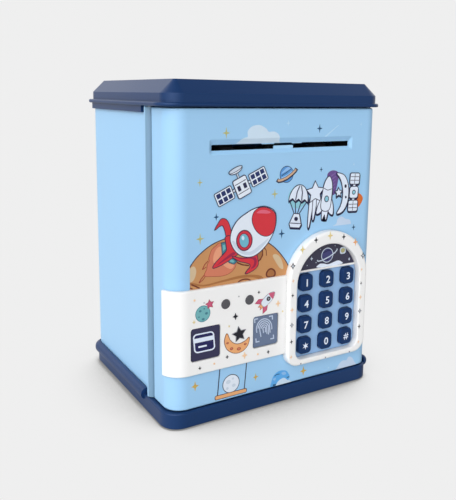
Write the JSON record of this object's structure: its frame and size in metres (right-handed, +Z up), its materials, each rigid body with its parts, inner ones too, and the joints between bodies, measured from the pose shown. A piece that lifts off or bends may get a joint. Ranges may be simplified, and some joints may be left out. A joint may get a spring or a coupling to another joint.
{
  "type": "toy savings bank",
  "caption": "Toy savings bank shaped like a cash machine: hinged front door with note slot, arched keypad, fingerprint and card pads, motor note feeder, latch bolt, roof with coin slot.",
  "frame": {"origin": "middle of the whole footprint, on the floor under the feet", "axes": "+X to the right seen from the front, +Y from the front to the rear, +Z up; the door faces -Y"},
  "size_m": [0.1492, 0.1276, 0.19],
  "materials": {
    "body_blue": "gloss",
    "navy": "gloss",
    "white": "gloss",
    "plate_blue": "satin",
    "key_navy": "satin",
    "header_dark": "gloss",
    "pad_dark": "gloss",
    "pad_grey": "satin",
    "lens_grey": "gloss",
    "rubber": "matte",
    "steel": "satin",
    "board_green": "satin",
    "mat_grey": "matte",
    "black_plastic": "matte",
    "gear_white": "satin",
    "led_red": "gloss",
    "cell_label": "gloss",
    "contact_metal": "satin",
    "winding": "gloss"
  },
  "bodies": {
    "housing": {"rear_housing": "body_blue", "roof_cap": "navy", "base_tray": "navy", "rubber_feet": "rubber", "roof_screws": "steel", "base_screws": "steel", "latch_striker": "steel"},
    "door": {"door_shell": "body_blue", "hinge_pins": "steel", "control_band": "white", "keypad_bezel": "white", "keypad_plate": "plate_blue", "keypad_header": "header_dark", "keypad_membrane": "mat_grey", "keypad_board": "board_green", "card_pad": "pad_dark", "led_lenses": "lens_grey", "control_board": "board_green", "board_screws": "steel", "status_leds": "led_red", "fingerprint_switch": "black_plastic", "door_back_cover": "navy", "cover_screws": "steel", "battery_box": "black_plastic", "battery_cells": "cell_label", "battery_contacts": "contact_metal", "battery_cover": "navy", "battery_cover_screw": "steel", "speaker": "black_plastic", "bill_guide": "navy", "feeder_frame": "black_plastic", "feed_motor": "steel", "reduction_axle": "steel", "solenoid_frame": "steel", "solenoid_coil": "winding", "latch_spring": "steel"},
    "fingerprint_button": {"fingerprint_button": "pad_grey"},
    "latch_bolt": {"latch_bolt": "steel"},
    "drive": {"drive_shaft": "steel", "drive_rollers": "rubber", "drive_gear": "gear_white"},
    "reduction_gear": {"reduction_gear": "gear_white"},
    "motor_pinion": {"motor_pinion": "gear_white"},
    "idler": {"idler_shaft": "steel", "idler_rollers": "rubber"},
    "key_1": {"key_1": "key_navy"},
    "key_2": {"key_2": "key_navy"},
    "key_3": {"key_3": "key_navy"},
    "key_4": {"key_4": "key_navy"},
    "key_5": {"key_5": "key_navy"},
    "key_6": {"key_6": "key_navy"},
    "key_7": {"key_7": "key_navy"},
    "key_8": {"key_8": "key_navy"},
    "key_9": {"key_9": "key_navy"},
    "key_star": {"key_star": "key_navy"},
    "key_0": {"key_0": "key_navy"},
    "key_hash": {"key_hash": "key_navy"}
  },
  "joints": [
    {"name": "door_swing", "type": "hinge", "parent": "housing", "child": "door", "pos_m": [-0.0686, -0.0318, 0.095], "axis": [0, 0, -1], "range_deg": [0, 110]},
    {"name": "key_1_press", "type": "slide", "parent": "door", "child": "key_1", "axis": [0, 1, 0], "range_m": [0, 0.0012]},
    {"name": "key_2_press", "type": "slide", "parent": "door", "child": "key_2", "axis": [0, 1, 0], "range_m": [0, 0.0012]},
    {"name": "key_3_press", "type": "slide", "parent": "door", "child": "key_3", "axis": [0, 1, 0], "range_m": [0, 0.0012]},
    {"name": "key_4_press", "type": "slide", "parent": "door", "child": "key_4", "axis": [0, 1, 0], "range_m": [0, 0.0012]},
    {"name": "key_5_press", "type": "slide", "parent": "door", "child": "key_5", "axis": [0, 1, 0], "range_m": [0, 0.0012]},
    {"name": "key_6_press", "type": "slide", "parent": "door", "child": "key_6", "axis": [0, 1, 0], "range_m": [0, 0.0012]},
    {"name": "key_7_press", "type": "slide", "parent": "door", "child": "key_7", "axis": [0, 1, 0], "range_m": [0, 0.0012]},
    {"name": "key_8_press", "type": "slide", "parent": "door", "child": "key_8", "axis": [0, 1, 0], "range_m": [0, 0.0012]},
    {"name": "key_9_press", "type": "slide", "parent": "door", "child": "key_9", "axis": [0, 1, 0], "range_m": [0, 0.0012]},
    {"name": "key_star_press", "type": "slide", "parent": "door", "child": "key_star", "axis": [0, 1, 0], "range_m": [0, 0.0012]},
    {"name": "key_0_press", "type": "slide", "parent": "door", "child": "key_0", "axis": [0, 1, 0], "range_m": [0, 0.0012]},
    {"name": "key_hash_press", "type": "slide", "parent": "door", "child": "key_hash", "axis": [0, 1, 0], "range_m": [0, 0.0012]},
    {"name": "fingerprint_press", "type": "slide", "parent": "door", "child": "fingerprint_button", "axis": [0, 1, 0], "range_m": [0, 0.0006]},
    {"name": "latch_slide", "type": "slide", "parent": "door", "child": "latch_bolt", "axis": [1, 0, 0], "range_m": [0, 0.0035], "deforming": ["latch_spring"]},
    {"name": "feed_drive", "type": "hinge", "parent": "door", "child": "drive", "pos_m": [0, -0.0478, 0.1493], "axis": [1, 0, 0], "continuous": true},
    {"name": "reduction_spin", "type": "hinge", "parent": "door", "child": "reduction_gear", "pos_m": [0.06, -0.0478, 0.1403], "axis": [1, 0, 0], "continuous": true},
    {"name": "motor_spin", "type": "hinge", "parent": "door", "child": "motor_pinion", "pos_m": [0.06, -0.0478, 0.1298], "axis": [1, 0, 0], "continuous": true},
    {"name": "idler_spin", "type": "hinge", "parent": "door", "child": "idler", "pos_m": [0, -0.0478, 0.1584], "axis": [1, 0, 0], "continuous": true}
  ],
  "couplings": [
    {"joint": "reduction_spin", "follows": "feed_drive", "ratio": -2},
    {"joint": "motor_spin", "follows": "feed_drive", "ratio": 5},
    {"joint": "idler_spin", "follows": "feed_drive", "ratio": -1.25}
  ]
}
